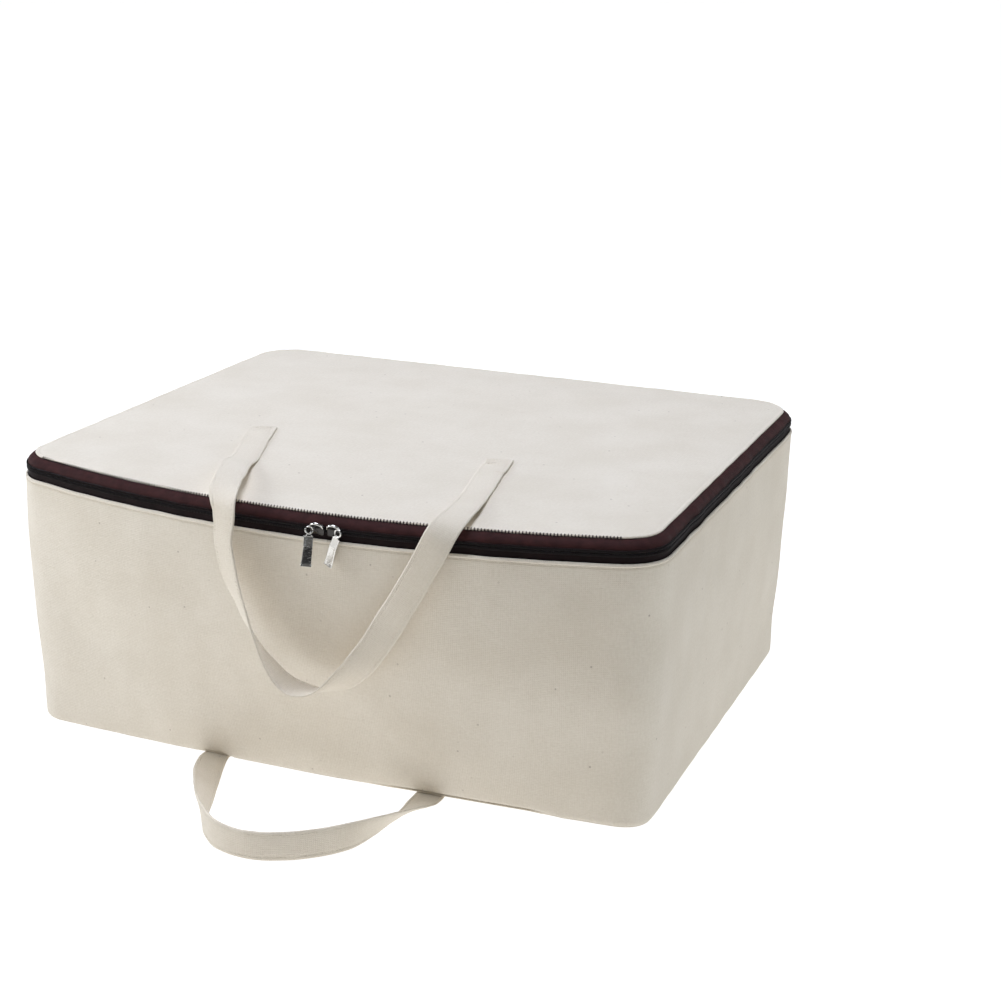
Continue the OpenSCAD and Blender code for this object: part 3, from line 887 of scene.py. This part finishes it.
def strap_section():
    """(across, up) points round a folded and edge-stitched strap, with grooves at the stitch rows."""
    half = STRAP_W / 2
    flat = half - STRAP_T / 2
    row = half - EDGE_STITCH
    edge = [(flat, 0.80), (flat - 0.0008, 0.98), (row, 0.78), (row - 0.0010, 1.0), (flat * 0.5, 1.08)]
    top = [(-x, swell) for x, swell in edge] + [(0, 1.1)] + edge[::-1]
    top = [(x, STRAP_T / 2 * swell) for x, swell in top]
    bottom = [(x, -y) for x, y in top[::-1]]
    right = [(half - 0.0002, STRAP_T * 0.26), (half, 0), (half - 0.0002, -STRAP_T * 0.26)]
    left = [(-x, -y) for x, y in right]
    return np.array(top + right + bottom + left)


def make_strap(name, route, seed, nodes):
    """A strap with its two rows of edge stitches, bending where it leaves the bag."""
    middle, along, wide = smoothed_route(np.array(route))
    up = np.cross(along, wide)
    run = distance_along(middle)
    section = strap_section()
    uneven = 0.0003 * waves(run, 0, 0.02, seed)
    points, cloth = [], []
    for x, y in section:
        ripple = 0.00022 * waves(run, x, 0.012, seed + 1)
        points.append(middle + wide * (x + uneven * np.sign(x))[:, None] + up * (y + ripple)[:, None])
        cloth.append(cloth_line(run + seed, x + 0.3 * (y < 0)))
    points, cloth = (np.stack(lines, 1).reshape(-1, 3) for lines in (points, cloth))
    strap = new_piece(name, points, tube_faces(len(middle), len(section)), STRAP_CANVAS, cloth)
    face_outwards(strap)
    places = np.arange(0.003, run[-1] - 0.003, 0.0032)
    centre = resample(middle, middle, places)
    forward = resample(middle, along, places)
    sideways = unit(resample(middle, wide, places))
    normal = unit(resample(middle, up, places))
    centres, directions, ups = [], [], []
    for edge in (-1, 1):
        for face in (-1, 1):
            shift = sideways * edge * (STRAP_W / 2 - EDGE_STITCH) + normal * face * STRAP_T * 0.41
            centres.append(centre + shift)
            directions.append(forward)
            ups.append(normal * face)
    rows = (np.concatenate(lists) for lists in (centres, directions, ups))
    threads = thread_stitches(name + "_edge_stitches", *rows, length=0.0024, width=0.0006)
    for piece in (strap, threads):
        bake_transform(piece)
    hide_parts(*nodes)


def sewn_stations(pivot, inwards, across, height):
    """Stations of a sewn strap end, from its far end to just before the pivot."""
    stations = []
    for distance in (SEWN_LEN + 0.002, SEWN_LEN * 0.66, SEWN_LEN * 0.33, 0.005):
        at = pivot + inwards * distance
        stations.append((*at * 1000, height(*at) * 1000, *across))
    return stations


def box_stitches(name, corner, along, across, length, width, height, body, slot):
    """A sewn box with a cross, which holds a strap end down."""
    a0 = corner
    a1 = corner + along * length
    b1 = a1 + across * width
    b0 = corner + across * width
    centres, directions = [], []
    for a, b in ((a0, a1), (a1, b1), (b1, b0), (b0, a0), (a0, b1), (a1, b0)):
        reach = np.linalg.norm(b - a)
        heading = (b - a) / reach
        for at in np.arange(0.0013, reach - 0.0005, 0.0029):
            x, y = a + heading * at
            centres.append((x, y, height(x, y)))
            directions.append((*heading, 0))
    ups = np.tile((0.0, 0.0, 1.0), (len(centres), 1))
    piece = thread_stitches(name, np.array(centres), np.array(directions), ups, 0.0022, 0.0006)
    settle(piece, body, slot)


def make_lid_handle():
    """The strap on the lid, with its two sewn ends."""
    def middle_height(x, y):
        """Height of the strap's middle where it lies on the lid."""
        return float(lid_height(x, y)) + STRAP_T / 2 + 0.0001

    def thread_height(x, y):
        return middle_height(x, y) + STRAP_T * 0.60

    route = LID_ROUTE.copy()
    ends = {}
    for k, side, outer in ((0, "left", 1), (-1, "right", -1)):
        pivot = LID_ROUTE[k, :2] / 1000
        heading = math.radians(LID_HEADINGS[side])
        inward = np.array((math.cos(heading), math.sin(heading)))
        across = np.array((-inward[1], inward[0]))
        ends[side] = sewn_stations(pivot, inward, (*across * outer, 0), middle_height)
        route[k, 2] = middle_height(*pivot) * 1000
        corner = pivot + inward * (SEWN_LEN - 0.016) - across * (STRAP_W / 2 - 0.0045)
        box_stitches(f"lid_handle_box_stitch_{side}", corner, inward, across, 0.014, STRAP_W - 0.009,
                     thread_height, "lid", "canvas_strap")
    make_strap("lid_handle_strap", [*ends["left"], *route, *ends["right"][::-1]], 81,
               ("lid_handle", "lid_handle_left_end", "lid_handle_right_end"))


def make_bottom_handle():
    """The strap on the floor in front, with its two ends sewn under the base."""
    def middle_height(x, y):
        """Height of the strap's middle where it lies under the base."""
        return BOTTOM_ROUTE[0, 2] / 1000

    pivot_y = BOTTOM_ROUTE[0, 1] / 1000
    inward = np.array((0.0, 1.0))
    left, right = (
        sewn_stations(np.array((exit_x, pivot_y)), inward, (outer, 0, 0), middle_height)
        for exit_x, outer in zip(STRAP_EXITS, (-1, 1))
    )
    make_strap("bottom_handle_strap", [*left, *BOTTOM_ROUTE, *right[::-1]], 91,
               ("bottom_handle", "bottom_handle_left_end", "bottom_handle_right_end"))


def cloth_patch(name, centre, heading, size, z, thickness, body, node):
    """A square of canvas with softly rounded edges, sewn down over a strap end."""
    along = np.array((math.cos(heading), math.sin(heading)))
    across = np.array((-along[1], along[0]))
    ticks = np.linspace(-size / 2, size / 2, 26)
    top = []
    for a in ticks:
        for b in ticks:
            edge = min(size / 2 - abs(a), size / 2 - abs(b))
            drop = thickness * (1 - min(edge / 0.0015, 1)) ** 2
            place = centre + along * a + across * b
            soft = 0.0003 * float(waves(a, b, 0.012, 65))
            top.append((*place, z + (thickness - drop + soft * min(edge / 0.004, 1))))
    under = [(x, y, z) for x, y, _ in top]
    n = len(ticks)
    faces = grid_faces(n, n)
    faces += [tuple(k + n * n for k in face)[::-1] for face in grid_faces(n, n)]
    rim = [i * n for i in range(n)] + [(n - 1) * n + j for j in range(1, n)]
    rim += [i * n + n - 1 for i in range(n - 2, -1, -1)] + [j for j in range(n - 2, 0, -1)]
    for a, b in zip(rim, rim[1:] + rim[:1]):
        faces.append((b, a, a + n * n, b + n * n))
    piece = face_outwards(new_piece(name, np.array(top + under), faces, CANVAS))
    settle(piece, body, "canvas", node)


def make_patches():
    """The reinforcing squares behind the four sewn strap ends."""
    half = 0.020
    for side, heading in LID_HEADINGS.items():
        low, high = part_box(f"bottom_{side}_patch")
        centre = np.array(((low.x + high.x) / 2, (low.y + high.y) / 2))
        cloth_patch(f"base_patch_{side}", centre, 0, PATCH_SIZE, 0.0044, PATCH_T, "case",
                    f"bottom_{side}_patch")
        box_stitches(f"base_patch_stitches_{side}", centre - half, np.array((1.0, 0)), np.array((0, 1.0)),
                     2 * half, 2 * half, lambda x, y: 0.0060, "case", "canvas_strap")
        low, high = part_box(f"lid_{side}_patch")
        centre = np.array(((low.x + high.x) / 2, (low.y + high.y) / 2))
        cloth_patch(f"lid_patch_{side}", centre, math.radians(heading), PATCH_SIZE, low.z - 0.0004,
                    PATCH_T, "lid", f"lid_{side}_patch")


# ---- Sliders and pulls ----


def slider_frame(x):
    """The slider's own frame: x along the zip, y inwards, z up, at the wall's outer face."""
    arc_r = (HALF_W**2 + BOW**2) / (2 * BOW)
    angle = math.asin(x / arc_r)
    centre = Matrix.Translation((0, CHORD_Y - BOW + arc_r, ZIP_Z))
    return centre @ Matrix.Rotation(angle, 4, "Z") @ Matrix.Translation((0, -arc_r, 0))


def joined(parts):
    """One list of points and faces from several."""
    points, faces, first = [], [], 0
    for part_points, part_faces in parts:
        points.append(np.asarray(part_points, float))
        faces += [tuple(int(k) + first for k in face) for face in part_faces]
        first += len(part_points)
    return np.concatenate(points), faces


def tube(path, radii, flatten=1.0, reference=(0, 0, 1), sides=14, closed=False):
    """A tube along a path. flatten squeezes it along the reference direction."""
    path = np.asarray(path, float)
    if closed:
        along = unit(np.roll(path, -1, 0) - np.roll(path, 1, 0))
    else:
        along = unit(np.gradient(path, axis=0))
    side = unit(np.cross(along, np.broadcast_to(reference, path.shape)))
    up = np.cross(side, along)
    radii = np.broadcast_to(radii, len(path))[:, None]
    rings = [
        path + radii * (math.cos(a) * side + flatten * math.sin(a) * up)
        for a in np.arange(sides) * 2 * math.pi / sides
    ]
    points = np.stack(rings, 1).reshape(-1, 3)
    if closed:
        faces = grid_faces(len(path), sides, round_cols=True, round_rows=True)
    else:
        faces = tube_faces(len(path), sides)
    return points, faces


def slab(outline_xz, y_out, y_in, bevel=0.0004):
    """A plate with rounded edges, from an outline in the slider's x and z."""
    shape = np.array(outline_xz)
    middle = shape.mean(axis=0)
    inner = middle + (shape - middle) * (1 - bevel / np.abs(shape - middle).max())
    rings = []
    for ring, y in ((inner, y_out), (shape, y_out + bevel), (shape, y_in - bevel), (inner, y_in)):
        rings.append(np.column_stack([ring[:, 0], np.full(len(ring), y), ring[:, 1]]))
    return np.concatenate(rings), tube_faces(len(rings), len(shape))


def slider_outline(length, wide, narrow):
    """A slider's face: broad shoulders at one end, slimmer at the other, all rounded."""
    corners = [(-length / 2, narrow / 2), (-length * 0.05, narrow / 2 + 0.0002), (length * 0.22, wide / 2),
               (length / 2, wide / 2 * 0.86)]
    ring = corners + [(x, -z) for x, z in corners[::-1]]
    return curve(ring + ring[:1], 6)[:-1]


def transformed(points, matrix):
    m = np.array(matrix)
    return np.asarray(points) @ m[:3, :3].T + m[:3, 3]


def make_slider(side, x, turn, hang, lean, flip):
    """Slider body, bridge and pull tab. turn, hang and lean are the pull's own angles, in degrees."""
    place = slider_frame(x)
    body_name = f"{side}_slider"

    def add(name, mesh, matrix, material, body, node):
        points, faces = mesh
        piece = face_outwards(new_piece(name, transformed(points, matrix), faces, material))
        settle(piece, body, "nickel", node)

    coil_face = -(TAPE_FACE + COIL_H)
    face = coil_face - 0.0016
    plate = slider_outline(0.0118, 0.0086, 0.0064) * (flip, 1)
    body = joined([
        slab(plate, face, coil_face - 0.0003),
        slab(plate * 0.86, 0.0035, 0.0049),
        slab(plate * (0.2, 0.07), coil_face - 0.0004, 0.0036, 0.0001),
    ])
    # The body takes the darkened nickel, a painted dark reflection.
    add(f"slider_{side}_body", body, place, NICKEL_PAINTED_DARK_REFLECTION, body_name, body_name)
    # The bridge stands off the face in an arch that leans up a little
    angles = np.linspace(0, math.pi, 29)
    rise = 0.0066 * np.sin(angles) ** 0.75
    lift = math.radians(50)
    arch = np.column_stack([
        -0.0056 * np.cos(angles),
        face + 0.0003 - rise * math.cos(lift),
        0.0012 + rise * math.sin(lift),
    ])
    bridge = tube(arch, 0.00105, 0.6, (0, -0.64, 0.77))
    add(f"slider_{side}_bridge", bridge, place, NICKEL, body_name, f"{side}_slider_bridge")
    ring_at = Matrix.Translation((-0.0052 * flip, face - 0.0028, 0.0022))
    aim = Matrix.Identity(4)
    for angle, axis in ((hang, "Y"), (turn, "Z"), (-lean, "X")):
        aim = aim @ Matrix.Rotation(math.radians(angle), 4, axis)
    add(f"pull_{side}", pull_mesh(), place @ ring_at @ aim, NICKEL, f"{side}_pull", f"{side}_pull")


PULL_SCALE = (1.08, 1.0, 0.92)  # of the finished pull: width, thickness, length
BLADE = (  # distance down, half width, shift forwards, half thickness
    (0.0058, 0.0021, 0.0000, 0.00055),
    (0.0066, 0.0023, 0.0000, 0.00055),
    (0.0072, 0.0034, 0.0001, 0.00075),
    (0.0080, 0.0036, 0.0002, 0.00075),
    (0.0084, 0.0035, 0.0001, 0.00050),
    (0.0140, 0.0037, -0.0005, 0.00050),
    (0.0165, 0.0037, -0.0007, 0.00060),
    (0.0180, 0.0037, -0.0006, 0.00050),
    (0.0250, 0.0039, -0.0002, 0.00050),
    (0.0310, 0.0041, 0.0003, 0.00050),
    (0.0335, 0.0043, 0.0002, 0.00060),
    (0.0345, 0.0042, 0.0000, 0.00055),
)
BLADE_SECTION = np.array([  # across and forwards, as shares of the halves above
    (-1, 0), (-0.97, 0.7), (-0.86, 1), (-0.7, 0.62), (-0.3, 0.5), (0.3, 0.5), (0.7, 0.62), (0.86, 1),
    (0.97, 0.7), (1, 0), (0.97, -0.7), (0.8, -1), (0, -1), (-0.8, -1), (-0.97, -0.7),
])


def pull_mesh():
    """A cast pull tab: ring, neck with a collar, and a slightly bent blade with a turned-out lip."""
    ring_r, wire = 0.0031, 0.0007
    angles = np.arange(36) * 2 * math.pi / 36
    centre_z = -ring_r + 0.0008
    ring = np.column_stack([ring_r * 0.95 * np.cos(angles), angles * 0, centre_z + ring_r * np.sin(angles)])
    across, forwards = BLADE_SECTION.T
    rows = [
        np.column_stack([across * half_w, shift - forwards * half_t, np.full(len(across), -down)])
        for down, half_w, shift, half_t in curve(BLADE, 4)
    ]
    points, faces = joined([
        tube(ring, wire, 1.0, (0, 1, 0), 12, closed=True),
        (np.concatenate(rows), tube_faces(len(rows), len(across))),
    ])
    return points * PULL_SCALE, faces


# ---- Studio ----


def make_floor():
    far = 40.0
    points = [(-far, -far, 0), (far, -far, 0), (far, far, 0), (-far, far, 0)]
    new_piece("studio_floor", points, [(0, 1, 2, 3)], floor_material())


def make_shade():
    """A dark card beside the front, which shades the bag's right and stays out of the camera's sight."""
    middle, half = Vector((0.74, -0.78, 0)), Vector((0.34, 0.40, 0))
    low, high = middle - half, middle + half
    top = Vector((0, 0, 0.40))
    s = Shader("studio_card", roughness=1.0, Specular_IOR_Level=0.0)
    felt = s.finish(s.mix(s.noise((20, 20, 20)), (0.015, 0.015, 0.015), (0.03, 0.03, 0.03)))
    card = new_piece("studio_card", [low, high, high + top, low + top], [(0, 1, 2, 3)], felt)
    card.visible_camera = False


def area_light(name, place, target, size, power, colour):
    """A round light at place that looks at target."""
    data = bpy.data.lights.new(name, "AREA")
    data.shape = "DISK"
    data.size = size
    data.energy = power
    data.color = colour
    light = bpy.data.objects.new(name, data)
    light.location = place
    light.rotation_euler = (Vector(target) - Vector(place)).to_track_quat("-Z", "Y").to_euler()
    bpy.context.scene.collection.objects.link(light)


def make_lights():
    """A pale horizon under a dim ceiling, a large soft light above and smaller ones at the sides."""
    world = bpy.data.worlds.new("studio")
    world.use_nodes = True
    nodes, links = world.node_tree.nodes, world.node_tree.links
    place = nodes.new("ShaderNodeTexCoord")
    parts = nodes.new("ShaderNodeSeparateXYZ")
    fade = nodes.new("ShaderNodeMapRange")
    for socket, value in (("From Min", 0.09), ("From Max", 0.20), ("To Min", 0.97), ("To Max", 0.12)):
        fade.inputs[socket].default_value = value
    links.new(place.outputs["Generated"], parts.inputs[0])
    links.new(parts.outputs["Z"], fade.inputs["Value"])
    links.new(fade.outputs["Result"], nodes["Background"].inputs["Strength"])
    nodes["Background"].inputs["Color"].default_value = (1.0, 1.0, 1.0, 1)
    bpy.context.scene.world = world
    area_light("top", (-0.20, -0.05, 2.7), (0, 0, 0.1), 1.5, 61, (0.825, 0.87, 1.0))
    area_light("left", (-1.6, -0.85, 0.95), (0, -0.1, 0.12), 0.55, 13, (0.86, 0.92, 1.0))
    area_light("right", (2.4, 0.0, 0.9), (0, 0, 0.12), 1.2, 6.5, (0.78, 0.90, 1.0))


def make_camera():
    """The camera of the reference view: its place, and its turn, tilt and roll."""
    place = Vector((0.6904, -1.6173, 0.7263))
    turn, tilt, roll = (math.radians(a) for a in (20.99, 17.15, 1.22))
    back = Vector((math.sin(turn) * math.cos(tilt), -math.cos(turn) * math.cos(tilt), math.sin(tilt)))
    right = (-back).cross(Vector((0, 0, 1))).normalized()
    up = right.cross(-back)
    x_axis = math.cos(roll) * right + math.sin(roll) * up
    y_axis = -math.sin(roll) * right + math.cos(roll) * up
    data = bpy.data.cameras.new("camera")
    data.lens = 69.02
    data.sensor_width = 36.0
    data.clip_start = 0.05
    camera = bpy.data.objects.new("camera", data)
    matrix = Matrix((x_axis, y_axis, back)).transposed().to_4x4()
    matrix.translation = place
    camera.matrix_world = matrix
    bpy.context.scene.collection.objects.link(camera)
    bpy.context.scene.camera = camera


make_camera()
make_lights()
make_floor()
make_shade()
make_wall()
make_back()
make_base()
make_lid()
make_tapes()
coil("zip_coil_lower", -1, "case", "lower_zip_coil")
coil("zip_coil_upper", 1, "lid", "upper_zip_coil")
stitch_round("hem_stitches", WALL_H - HEM, offset=0, pitch=0.0032, length=0.0024, width=0.0006,
             slope=(1, 0, 0), body="case", slot="canvas")
stitch_round("lid_edge_stitches", LID_TOP - 0.0011, offset=-LID_INSET + 0.0001, pitch=0.0028, length=0.0030,
             width=0.0013, slope=(0, 0.55, -0.83), body="lid", slot="zip_tape_brown",
             material=THREAD_BROWN, reach=0.275)
make_bindings()
make_gusset()
make_lid_handle()
make_bottom_handle()
make_patches()
make_slider("left", x=0.0265, turn=38, hang=12.5, lean=23, flip=1)
make_slider("right", x=0.0415, turn=-22, hang=16.5, lean=2, flip=-1)

bpy.context.scene.view_settings.view_transform = "Standard"
